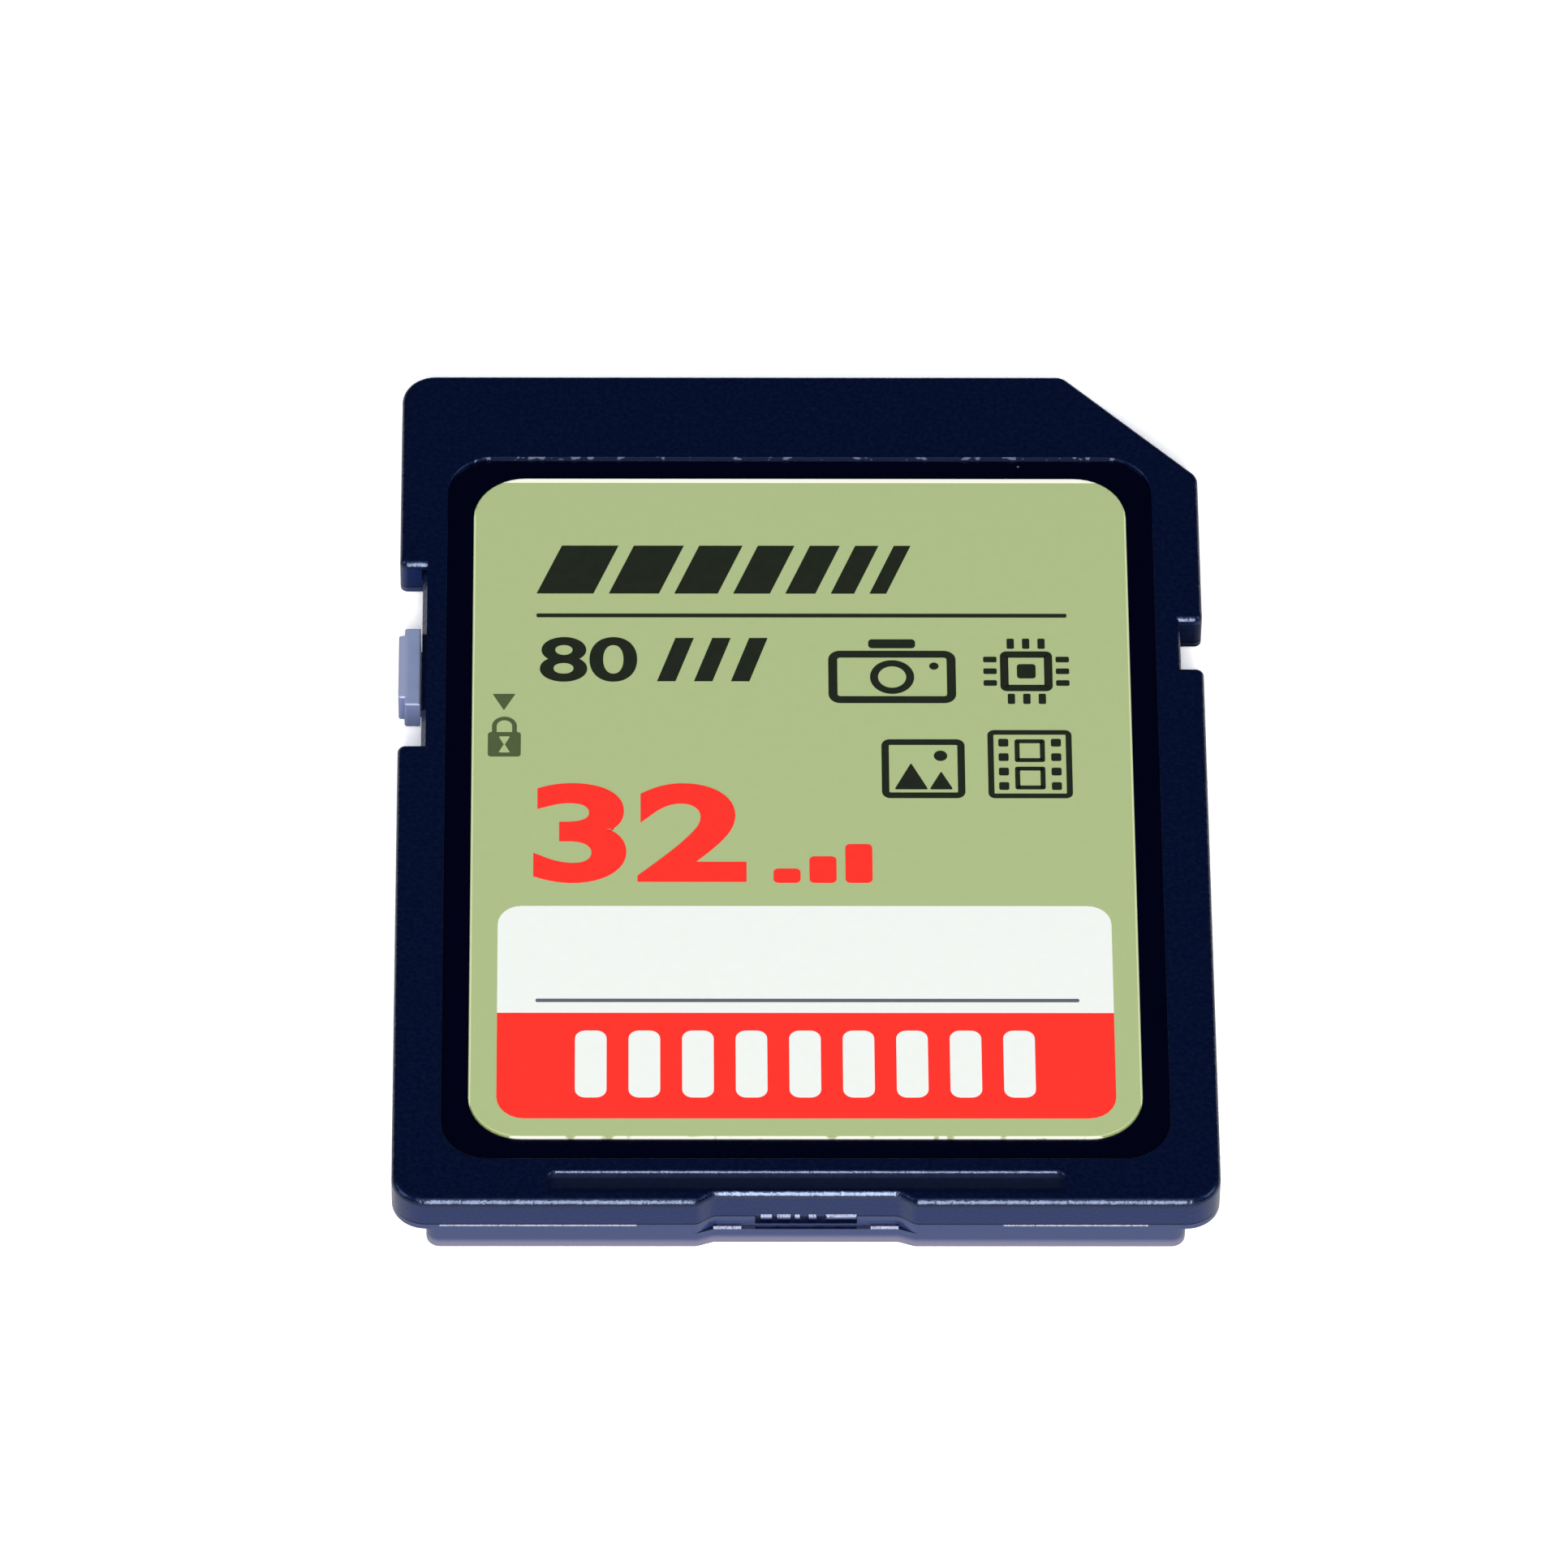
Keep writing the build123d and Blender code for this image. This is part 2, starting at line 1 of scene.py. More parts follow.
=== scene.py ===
# A memory card lying label up on a pale floor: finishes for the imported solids, and its label's print.
import bpy
import json
from math import cos, pi, radians, sin
from mathutils import Matrix, Vector


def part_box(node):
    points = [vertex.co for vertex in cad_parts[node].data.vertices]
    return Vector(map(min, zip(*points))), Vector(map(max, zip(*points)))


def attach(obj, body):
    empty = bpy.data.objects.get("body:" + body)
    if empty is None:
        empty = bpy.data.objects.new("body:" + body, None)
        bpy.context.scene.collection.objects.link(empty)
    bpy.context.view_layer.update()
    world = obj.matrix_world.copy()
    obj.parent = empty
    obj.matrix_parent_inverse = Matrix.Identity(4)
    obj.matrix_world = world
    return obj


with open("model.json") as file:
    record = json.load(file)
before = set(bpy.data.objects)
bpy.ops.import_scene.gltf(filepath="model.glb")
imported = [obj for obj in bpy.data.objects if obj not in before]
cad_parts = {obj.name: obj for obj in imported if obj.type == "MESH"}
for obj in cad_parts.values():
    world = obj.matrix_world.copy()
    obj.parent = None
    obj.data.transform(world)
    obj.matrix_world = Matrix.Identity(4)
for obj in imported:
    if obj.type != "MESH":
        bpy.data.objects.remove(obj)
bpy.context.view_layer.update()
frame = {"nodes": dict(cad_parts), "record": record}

MM = 0.001
CARD = "card"

# Camera fitted to the photograph: turn, height, roll, focal length in pixels, aim and distance
IMAGE_WIDTH = 1932
CAMERA_AZIMUTH = radians(-0.968)
CAMERA_ELEVATION = radians(49.898)
CAMERA_ROLL = radians(0.776)
FOCAL_PIXELS = 17433
AIM_RIGHT = -0.527 * MM
AIM_UP = 1.185 * MM
CAMERA_DISTANCE = 420.32 * MM
SENSOR_WIDTH = 36.0
CLIP_START = 0.01

# Floor in metres, and how much it is lifted for the camera and for what reflections see
FLOOR_SIZE = 4.0
CAMERA_LIFT = 1.4
REFLECTION_LIFT = 0.05

# Softboxes: name, place, width and height in metres, power in watts, and colour
SOFTBOXES = [
    ("overhead_softbox", (0.0, -0.25, 0.95), 0.4, 0.4, 0.73, "#FFFFFF"),
    ("front_softbox", (0.0, -0.923, 0.501), 0.26, 1.05, 18.9, "#FFFAF1"),
    ("left_softbox", (-0.85, -0.1, 0.65), 0.6, 0.6, 3.3, "#E3EDFF"),
    ("right_softbox", (0.85, -0.1, 0.65), 0.6, 0.6, 3.3, "#E3EDFF"),
]
ROOM_COLOUR = "#DDE6FF"
ROOM_STRENGTH = 0.02

# The label in its recess, in millimetres: its top, the height below which its cut edge shows, and the
# width of the pale painted highlights along its edges
label_low, label_high = (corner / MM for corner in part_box("front_label"))
LABEL_TOP = label_high.z
LABEL_EDGE = LABEL_TOP - 0.012
LABEL_LEAD_HIGHLIGHT = 0.2
LABEL_SIDE_HIGHLIGHT = 0.06
LABEL_TRAIL_HIGHLIGHT = 0.05

# Places on the shells, each a box between two corners in millimetres
RECESS_MARGIN = Vector((0.85, 0.85, 0.03))
RECESS_FLOOR = (
    label_low - RECESS_MARGIN,
    Vector((label_high.x, label_high.y, label_low.z)) + RECESS_MARGIN,
)
RIM_START, RIM_END = 0.5, 0.95  # past the label's leading edge
RIM_TOP = 2.098  # just under the label face
RECESS_RIM = (
    Vector((label_low.x, label_high.y + RIM_START, label_low.z + RECESS_MARGIN.z)),
    Vector((label_high.x, label_high.y + RIM_END, RIM_TOP)),
)
NAIL_GROOVE = (Vector((-7.5, -15.45, 1.8)), Vector((7.5, -14.86, 2.03)))
SIDE_NOTCH_WALL = (Vector((11.25, 6.0, 0.6)), Vector((12.05, 6.35, 1.86)))
THUMB_EDGE = (Vector((-2.75, -15.72, 1.88)), Vector((2.75, -15.45, 2.11)))
SEAM = (Vector((-13.0, -17.0, 1.05)), Vector((13.0, 17.0, 1.1)))

# What those places add to the shell's roughness and to its polish
RIM_ROUGHER, GROOVE_ROUGHER = 0.5, 0.3
NOTCH_POLISH, RIM_POLISH, SEAM_POLISH, THUMB_POLISH = -0.38, -0.3, -0.3, 0.35

# Heights on the upright sides in millimetres: their top, and where the paler painted reflection of the
# floor at their foot starts and is palest
SIDE_TOP = 1.84
GLARE_TOP = 0.4
GLARE_FOOT = 0.2

# How far up a face's normal points where the face starts to count as upright, and wholly does
LEANING = 0.5
UPRIGHT = 0.2

# Rounded edges by the same measure, and the strength of the shell's grain on faces and added on edges
EDGE_MIDDLE, EDGE_SPREAD = 0.62, 0.28
FACE_GRAIN, EDGE_GRAIN = 0.12, 0.21

# Dust in loose specks in a few cells of this size, and painted highlight dots along the recess's far rim,
# in millimetres
DUST_CELL = 0.95
SPECK_RADIUS = 0.055  # in cells
SPECK_CHOICE = 0.92
RIM_GLINT_SIZE = 0.28
RIM_GLINT_LEVEL = 0.62

# The slider's outer side, and how far in its painted highlight is full and fades, in millimetres
slider_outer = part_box("lock_slider")[0].x / MM
HIGHLIGHT_FULL, HIGHLIGHT_END = 0.16, 0.3

# Ink, in millimetres: how far it sinks into the label so that no gap shows, and how high each pass stands
INK_SINK = 0.003
FIRST_PASS = 0.004
SECOND_PASS = 0.007
INK_ROUGHNESS = 0.5

# Steps in a rounded corner, a triangle's corner, a disc and an arch
CORNER_STEPS = 6
TIP_STEPS = 4
DISC_STEPS = 40
ARCH_STEPS = 16


def linear(hex_colour):
    """An sRGB hex colour as linear red, green, blue and alpha."""
    parts = [int(hex_colour[i : i + 2], 16) / 255 for i in (1, 3, 5)]
    return tuple(p / 12.92 if p <= 0.04045 else ((p + 0.055) / 1.055) ** 2.4 for p in parts) + (1.0,)


def put(tree, kind, inputs=None, **settings):
    """Add a node with its settings; each input takes a value or the socket that feeds it."""
    made = tree.nodes.new(kind)
    for name, value in settings.items():
        setattr(made, name, value)
    for name, value in (inputs or {}).items():
        if isinstance(value, bpy.types.NodeSocket):
            tree.links.new(value, made.inputs[name])
        else:
            made.inputs[name].default_value = value
    return made


def start_finish(name):
    """A new material, its node tree cleared, and its Object coordinates."""
    material = bpy.data.materials.new(name)
    material.use_nodes = True
    tree = material.node_tree
    tree.nodes.clear()
    place = put(tree, "ShaderNodeTexCoord").outputs["Object"]
    return material, tree, place


def end_finish(tree, shader):
    """Send a shader to the material's output."""
    put(tree, "ShaderNodeOutputMaterial", {"Surface": shader.outputs[0]})


def per_mm(size):
    """Pattern scale, in repeats to the metre, for a feature of this size in millimetres."""
    return 1 / (size * MM)


def within(tree, axes, box):
    """A mask that is 1 inside a box and 0 outside it."""
    low, high = box
    mask = None
    for axis in range(3):
        near = put(
            tree, "ShaderNodeMath",
            {
                0: axes[axis],
                1: (low[axis] + high[axis]) / 2 * MM,
                2: (high[axis] - low[axis]) / 2 * MM,
            },
            operation="COMPARE",
        ).outputs[0]
        mask = near if mask is None else put(
            tree, "ShaderNodeMath", {0: mask, 1: near}, operation="MULTIPLY"
        ).outputs[0]
    return mask


# Finishes

def make_shell_abs(name, light, dark, side, gloss, sheen_colour, painted_floor_glare=None):
    """ABS moulded in a spark-eroded tool: near-black navy with a fine grain that breaks each glint
    into dashes, a darker recess floor, a few specks of dust, painted highlight dots along the recess's
    far rim, a dark parting line, and upright sides painted bluer and paler as painted light, except the
    side notch's leading wall, left dark as painted shade. Their foot can be painted paler still, a
    painted reflection of the floor; handling rubs the thumb notch shiny."""
    material, tree, place = start_finish(name)
    axes = put(tree, "ShaderNodeSeparateXYZ", {0: place}).outputs
    rim = within(tree, axes, RECESS_RIM)
    shaded_notch_wall = within(tree, axes, SIDE_NOTCH_WALL)
    seam = within(tree, axes, SEAM)

    # The real grain is about 0.03 mm: it is drawn coarser so that it shows
    grain = put(
        tree, "ShaderNodeTexNoise", {"Vector": place, "Scale": per_mm(0.13), "Detail": 2.0}
    ).outputs[0]
    tone = put(
        tree, "ShaderNodeMapRange", {"Value": grain, "From Min": 0.3, "From Max": 0.7}
    ).outputs[0]
    colour = put(
        tree, "ShaderNodeMix", {0: tone, 6: linear(dark), 7: linear(light)}, data_type="RGBA"
    ).outputs[2]

    cells = put(
        tree, "ShaderNodeTexVoronoi",
        {"Vector": place, "Scale": per_mm(DUST_CELL), "Randomness": 1.0},
    )
    near = put(
        tree, "ShaderNodeMath", {0: cells.outputs["Distance"], 1: SPECK_RADIUS},
        operation="LESS_THAN",
    ).outputs[0]
    draw = put(tree, "ShaderNodeSeparateColor", {0: cells.outputs["Color"]}).outputs[0]
    chosen = put(
        tree, "ShaderNodeMath", {0: draw, 1: SPECK_CHOICE}, operation="GREATER_THAN"
    ).outputs[0]
    specks = put(tree, "ShaderNodeMath", {0: near, 1: chosen}, operation="MULTIPLY").outputs[0]
    # Painted highlights: along the recess's far rim, noise picks dots that take the dust colour, standing
    # in for the broken glint of the rim's edge.
    rim_glint_noise = put(
        tree, "ShaderNodeTexNoise", {"Vector": place, "Scale": per_mm(RIM_GLINT_SIZE), "Detail": 1.0}
    ).outputs[0]
    rim_glint_dots = put(
        tree, "ShaderNodeMath", {0: rim_glint_noise, 1: RIM_GLINT_LEVEL}, operation="GREATER_THAN"
    ).outputs[0]
    dust_and_rim_glints = put(
        tree, "ShaderNodeMath", {0: rim, 1: rim_glint_dots, 2: specks}, operation="MULTIPLY_ADD"
    ).outputs[0]

    normal = put(tree, "ShaderNodeTexCoord").outputs["Normal"]
    facing = put(tree, "ShaderNodeSeparateXYZ", {0: normal}).outputs[2]
    level = put(tree, "ShaderNodeMath", {0: facing}, operation="ABSOLUTE").outputs[0]
    below = put(
        tree, "ShaderNodeMath", {0: axes[2], 1: SIDE_TOP * MM}, operation="LESS_THAN"
    ).outputs[0]
    standing = put(
        tree, "ShaderNodeMapRange",
        {"Value": level, "From Min": LEANING, "From Max": UPRIGHT, "To Max": below},
    ).outputs[0]
    # The side notch's leading wall is taken out of the painted side tone below, so it stays dark as
    # painted shade.
    upright = put(
        tree, "ShaderNodeMath", {0: standing, 1: shaded_notch_wall}, operation="SUBTRACT", use_clamp=True
    ).outputs[0]

    # Layers: the darker recess floor, dust and the rim's painted highlight dots, and the painted side
    # tone, painted light on the upright sides.
    layers = [
        (within(tree, axes, RECESS_FLOOR), "#000113"),
        (dust_and_rim_glints, "#525B72"),
        (upright, side),
    ]
    # Painted reflection of the floor: the foot of the upright sides is painted paler.
    if painted_floor_glare:
        foot = put(
            tree, "ShaderNodeMapRange",
            {
                "Value": axes[2], "From Min": GLARE_TOP * MM, "From Max": GLARE_FOOT * MM,
                "To Max": upright,
            },
        ).outputs[0]
        layers.append((foot, painted_floor_glare))
    layers.append((seam, "#05081C"))
    for mask, layer in layers:
        colour = put(
            tree, "ShaderNodeMix", {0: mask, 6: colour, 7: linear(layer)}, data_type="RGBA"
        ).outputs[2]

    rough = put(
        tree, "ShaderNodeMapRange", {"Value": grain, "To Min": 0.14, "To Max": 0.32}
    ).outputs[0]
    for mask, extra in (
        (rim, RIM_ROUGHER),
        (within(tree, axes, NAIL_GROOVE), GROOVE_ROUGHER),
    ):
        rough = put(
            tree, "ShaderNodeMath", {0: mask, 1: extra, 2: rough}, operation="MULTIPLY_ADD"
        ).outputs[0]
    polish = gloss
    for mask, change in (
        (shaded_notch_wall, NOTCH_POLISH),
        (rim, RIM_POLISH),
        (seam, SEAM_POLISH),
        (within(tree, axes, THUMB_EDGE), THUMB_POLISH),
    ):
        polish = put(
            tree, "ShaderNodeMath", {0: mask, 1: change, 2: polish}, operation="MULTIPLY_ADD"
        ).outputs[0]
    edge = put(
        tree, "ShaderNodeMath", {0: facing, 1: EDGE_MIDDLE, 2: EDGE_SPREAD}, operation="COMPARE"
    ).outputs[0]
    depth = put(
        tree, "ShaderNodeMath", {0: edge, 1: EDGE_GRAIN, 2: FACE_GRAIN}, operation="MULTIPLY_ADD"
    ).outputs[0]
    bump = put(
        tree, "ShaderNodeBump", {"Height": grain, "Strength": depth, "Distance": 0.05 * MM}
    ).outputs[0]
    shader = put(
        tree, "ShaderNodeBsdfPrincipled",
        {
            "Base Color": colour, "Roughness": rough, "Normal": bump, "IOR": 1.58,
            "Specular IOR Level": polish, "Specular Tint": linear(sheen_colour),
        },
    )
    end_finish(tree, shader)
    return material


def make_slider_plastic():
    """Acetal moulding: pale blue-grey, satin, faintly cloudy, with a painted highlight along its outer
    side and painted shade deepening its uprights."""
    material, tree, place = start_finish("moulded_grey_acetal")
    cloud = put(
        tree, "ShaderNodeTexNoise", {"Vector": place, "Scale": per_mm(0.6), "Detail": 3.0}
    ).outputs[0]
    colour = put(
        tree, "ShaderNodeMix", {0: cloud, 6: linear("#7785A8"), 7: linear("#8793B6")},
        data_type="RGBA",
    ).outputs[2]
    across = put(tree, "ShaderNodeSeparateXYZ", {0: place}).outputs[0]
    painted_outer_highlight = put(
        tree, "ShaderNodeMapRange",
        {
            "Value": across, "From Min": (slider_outer + HIGHLIGHT_END) * MM,
            "From Max": (slider_outer + HIGHLIGHT_FULL) * MM,
        },
    ).outputs[0]
    normal = put(tree, "ShaderNodeTexCoord").outputs["Normal"]
    facing = put(tree, "ShaderNodeSeparateXYZ", {0: normal}).outputs[2]
    upright = put(
        tree, "ShaderNodeMapRange", {"Value": facing, "From Min": LEANING, "From Max": UPRIGHT}
    ).outputs[0]
    # Painted highlight along the outer side, and painted shade on the uprights.
    for mask, layer in ((painted_outer_highlight, "#929ABC"), (upright, "#64709A")):
        colour = put(
            tree, "ShaderNodeMix", {0: mask, 6: colour, 7: linear(layer)}, data_type="RGBA"
        ).outputs[2]
    grain = put(
        tree, "ShaderNodeTexNoise", {"Vector": place, "Scale": per_mm(0.08), "Detail": 2.0}
    ).outputs[0]
    rough = put(
        tree, "ShaderNodeMapRange", {"Value": grain, "To Min": 0.38, "To Max": 0.5}
    ).outputs[0]
    bump = put(
        tree, "ShaderNodeBump", {"Height": grain, "Strength": 0.4, "Distance": 0.006 * MM}
    ).outputs[0]
    shader = put(
        tree, "ShaderNodeBsdfPrincipled",
        {"Base Color": colour, "Roughness": rough, "Normal": bump, "IOR": 1.48},
    )
    end_finish(tree, shader)
    return material


def make_print_finish(name, light, dark, cut=False):
    """Ink on satin film: an even colour with the faint mottle and grain of offset print, and on the
    sheet itself a darker olive at its cut edge and pale painted highlights along its edges."""
    material, tree, place = start_finish(name)
    mottle = put(
        tree, "ShaderNodeTexNoise", {"Vector": place, "Scale": per_mm(0.35), "Detail": 4.0}
    ).outputs[0]
    colour = put(
        tree, "ShaderNodeMix", {0: mottle, 6: linear(dark), 7: linear(light)}, data_type="RGBA"
    ).outputs[2]
    if cut:
        axes = put(tree, "ShaderNodeSeparateXYZ", {0: place}).outputs
        # Painted highlight along the trailing edge, broken into dashes by noise.
        trail_glint_noise = put(
            tree, "ShaderNodeTexNoise", {"Vector": place, "Scale": per_mm(0.5), "Detail": 1.0}
        ).outputs[0]
        trail_glint_dashes = put(
            tree, "ShaderNodeMapRange", {"Value": trail_glint_noise, "From Min": 0.35, "From Max": 0.43}
        ).outputs[0]
        film = put(
            tree, "ShaderNodeMix", {0: trail_glint_dashes, 6: linear("#8E976F"), 7: linear("#CDD0C4")},
            data_type="RGBA",
        ).outputs[2]
        # At the label's edges: a darker olive below LABEL_EDGE at the cut edge, then pale painted
        # highlights on the sides, the leading edge and the trailing edge.
        for axis, limit, side, rim in (
            (2, LABEL_EDGE, "LESS_THAN", linear("#7E8B5C")),
            (0, label_high.x - LABEL_SIDE_HIGHLIGHT, "GREATER_THAN", linear("#DAE3B2")),
            (0, label_low.x + LABEL_SIDE_HIGHLIGHT, "LESS_THAN", linear("#DAE3B2")),
            (1, label_high.y - LABEL_LEAD_HIGHLIGHT, "GREATER_THAN", linear("#FBFDEA")),
            (1, label_low.y + LABEL_TRAIL_HIGHLIGHT, "LESS_THAN", film),
        ):
            at_edge = put(
                tree, "ShaderNodeMath", {0: axes[axis], 1: limit * MM}, operation=side
            ).outputs[0]
            colour = put(
                tree, "ShaderNodeMix", {0: at_edge, 6: colour, 7: rim}, data_type="RGBA"
            ).outputs[2]
    grain = put(
        tree, "ShaderNodeTexNoise", {"Vector": place, "Scale": per_mm(0.1), "Detail": 2.0}
    ).outputs[0]
    rough = put(
        tree, "ShaderNodeMapRange",
        {"Value": grain, "To Min": INK_ROUGHNESS - 0.05, "To Max": INK_ROUGHNESS + 0.05},
    ).outputs[0]
    bump = put(
        tree, "ShaderNodeBump", {"Height": grain, "Strength": 0.25, "Distance": 0.004 * MM}
    ).outputs[0]
    shader = put(
        tree, "ShaderNodeBsdfPrincipled",
        {
            "Base Color": colour, "Roughness": rough, "Normal": bump, "IOR": 1.5,
            "Specular IOR Level": 0.25,
        },
    )
    end_finish(tree, shader)
    return material


def make_gold():
    """Hard gold plating: warm metal, satin, with fine wiping marks along the way the springs slide."""
    material, tree, place = start_finish("hard_gold_plating")
    along = put(
        tree, "ShaderNodeMapping", {"Vector": place, "Scale": (1.0, 0.04, 1.0)}
    ).outputs[0]
    wipes = put(
        tree, "ShaderNodeTexNoise", {"Vector": along, "Scale": per_mm(0.08), "Detail": 3.0}
    ).outputs[0]
    colour = put(
        tree, "ShaderNodeMix", {0: wipes, 6: linear("#D9A441"), 7: linear("#F0CB74")},
        data_type="RGBA",
    ).outputs[2]
    rough = put(
        tree, "ShaderNodeMapRange", {"Value": wipes, "To Min": 0.2, "To Max": 0.38}
    ).outputs[0]
    bump = put(
        tree, "ShaderNodeBump", {"Height": wipes, "Strength": 0.3, "Distance": 0.003 * MM}
    ).outputs[0]
    shader = put(
        tree, "ShaderNodeBsdfPrincipled",
        {"Base Color": colour, "Roughness": rough, "Normal": bump, "Metallic": 1.0},
    )
    end_finish(tree, shader)
    return material


def make_speckled(name, light, dark, grain_mm, roughness):
    """A fine-grained moulded or fired solid: two close tones in a small speckle."""
    material, tree, place = start_finish(name)
    grain = put(
        tree, "ShaderNodeTexNoise", {"Vector": place, "Scale": per_mm(grain_mm), "Detail": 3.0}
    ).outputs[0]
    colour = put(
        tree, "ShaderNodeMix", {0: grain, 6: linear(dark), 7: linear(light)}, data_type="RGBA"
    ).outputs[2]
    rough = put(
        tree, "ShaderNodeMapRange",
        {"Value": grain, "To Min": roughness - 0.06, "To Max": roughness + 0.06},
    ).outputs[0]
    shader = put(
        tree, "ShaderNodeBsdfPrincipled", {"Base Color": colour, "Roughness": rough, "IOR": 1.5}
    )
    end_finish(tree, shader)
    return material


front_abs = make_shell_abs(
    "moulded_navy_abs_front", "#07122F", "#030A25", "#021441", 0.5, "#B4C8F6"
)
# The back shell's copy has a paler painted side tone and the painted reflection of the floor at the foot.
back_abs = make_shell_abs(
    "moulded_navy_abs_back", "#0A1533", "#060E2A", "#253158", 0.6, "#CCD3F6", painted_floor_glare="#616078"
)
slider_plastic = make_slider_plastic()
printed_film = make_print_finish("green_printed_film", "#AFC08A", "#ABBC86", cut=True)
green_ink = make_print_finish("green_ink_on_film", "#AFC08A", "#ABBC86")
white_ink = make_print_finish("white_ink_on_film", "#F2F7F3", "#EEF3EF")
red_ink = make_print_finish("red_ink_on_film", "#FF382F", "#FA3229")
black_ink = make_print_finish("black_ink_on_film", "#23291F", "#1A2017")
grey_ink = make_print_finish("grey_ink_on_film", "#666874", "#5E606C")
olive_ink = make_print_finish("olive_ink_on_film", "#52623F", "#4A5A39")
gold = make_gold()
board_mask = make_speckled("solder_mask_on_laminate", "#1F4B35", "#173C2A", 0.3, 0.4)
chip_mould = make_speckled("chip_moulding_compound", "#2A2B2D", "#1C1D1F", 0.08, 0.55)
capacitor_ceramic = make_speckled("capacitor_ceramic", "#A58D6C", "#8C7354", 0.06, 0.5)
resistor_ceramic = make_speckled("resistor_glaze", "#26272B", "#17181B", 0.06, 0.35)

SLOT_FINISH = {
    "shell_plastic": front_abs,
    "slider_plastic": slider_plastic,
    "label_film": printed_film,
    "gold_plating": gold,
    "board_laminate": board_mask,
    "chip_mould": chip_mould,
    "capacitor_ceramic": capacitor_ceramic,
    "resistor_ceramic": resistor_ceramic,
}
for subpart in frame["record"]["subparts"]:
    node_object = frame["nodes"][subpart["node"]]
    node_object.data.materials.clear()
    node_object.data.materials.append(SLOT_FINISH[subpart["material_slot"]])
frame["nodes"]["back_shell"].data.materials[0] = back_abs


# Print on the label: flat fields of ink, drawn in millimetres and then set on the label in metres

def select_corners(field, wanted):
    """In edit mode, select just the vertices whose place passes the test."""
    bpy.ops.mesh.select_mode(type="VERT")
    bpy.ops.mesh.select_all(action="DESELECT")
    bpy.ops.object.mode_set(mode="OBJECT")
    for corner in field.data.vertices:
        corner.select = wanted(corner.co)
    bpy.ops.object.mode_set(mode="EDIT")


def add_field(left, right, foot, top, radius=0.0, rounded=lambda place: True, slant=0.0):
    """A flat field with its top edge slid over by the slant and chosen corners rounded."""
    bpy.ops.object.select_all(action="DESELECT")
    bpy.ops.mesh.primitive_plane_add(size=1.0, location=((left + right) / 2, (foot + top) / 2, 0))
    field = bpy.context.object
    field.scale = (right - left, top - foot, 1.0)
    bpy.ops.object.transform_apply(location=True, rotation=True, scale=True)
    bpy.ops.object.mode_set(mode="EDIT")
    if slant:
        select_corners(field, lambda place: place.y > (foot + top) / 2)
        bpy.ops.transform.translate(value=(slant, 0, 0))
    if radius:
        select_corners(field, rounded)
        bpy.ops.mesh.bevel(offset=radius, segments=CORNER_STEPS, affect="VERTICES")
    bpy.ops.object.mode_set(mode="OBJECT")
    return field


def add_triangle(left, right, base, tip, radius):
    """A flat triangle between a level base and a tip, its corners rounded."""
    field = add_field(left, right, min(base, tip), max(base, tip))
    bpy.ops.object.mode_set(mode="EDIT")
    select_corners(field, lambda place: abs(place.y - tip) < abs(place.y - base))
    bpy.ops.mesh.merge(type="CENTER")
    bpy.ops.mesh.select_all(action="SELECT")
    bpy.ops.mesh.bevel(offset=radius, segments=TIP_STEPS, affect="VERTICES")
    bpy.ops.object.mode_set(mode="OBJECT")
    return field


def add_disc(across, up, radius):
    """A flat round field."""
    bpy.ops.object.select_all(action="DESELECT")
    bpy.ops.mesh.primitive_circle_add(
        vertices=DISC_STEPS, radius=radius, fill_type="NGON", location=(across, up, 0)
    )
    bpy.ops.object.transform_apply(location=True)
    return bpy.context.object


def hollow(field, width):
    """Open up a field's middle, leaving an outline of this width."""
    bpy.ops.object.mode_set(mode="EDIT")
    bpy.ops.mesh.select_mode(type="FACE")
    bpy.ops.mesh.select_all(action="SELECT")
    bpy.ops.mesh.inset(thickness=width)
    bpy.ops.mesh.delete(type="FACE")
    bpy.ops.object.mode_set(mode="OBJECT")
    return field


def add_arch(middle, foot, top, radius, width):
    """A flat arch: a half ring on two legs."""
    spring = top - radius
    arch = add_field(middle + radius - width, middle + radius, foot, spring)
    bpy.ops.object.mode_set(mode="EDIT")
    select_corners(arch, lambda place: place.y > (foot + spring) / 2)
    bpy.ops.mesh.spin(steps=ARCH_STEPS, angle=-pi, center=(middle, spring, 0), axis=(0, 0, 1))
    bpy.ops.mesh.extrude_region_move(TRANSFORM_OT_translate={"value": (0, foot - spring, 0)})
    bpy.ops.object.mode_set(mode="OBJECT")
    return arch


def add_figure(figure, left, right, foot, top, weight):
    """A plain number, thickened by its weight and fitted to its field."""
    bpy.ops.object.select_all(action="DESELECT")
    bpy.ops.object.text_add()
    number = bpy.context.object
    number.data.body = figure
    number.data.offset = weight
    bpy.ops.object.convert(target="MESH")
    number = bpy.context.object
    corners = [corner.co for corner in number.data.vertices]
    low = Vector((min(c.x for c in corners), min(c.y for c in corners), 0))
    high = Vector((max(c.x for c in corners), max(c.y for c in corners), 0))
    number.scale = ((right - left) / (high.x - low.x), (top - foot) / (high.y - low.y), 1.0)
    number.location = (left - low.x * number.scale.x, foot - low.y * number.scale.y, 0)
    bpy.ops.object.transform_apply(location=True, rotation=True, scale=True)
    return number


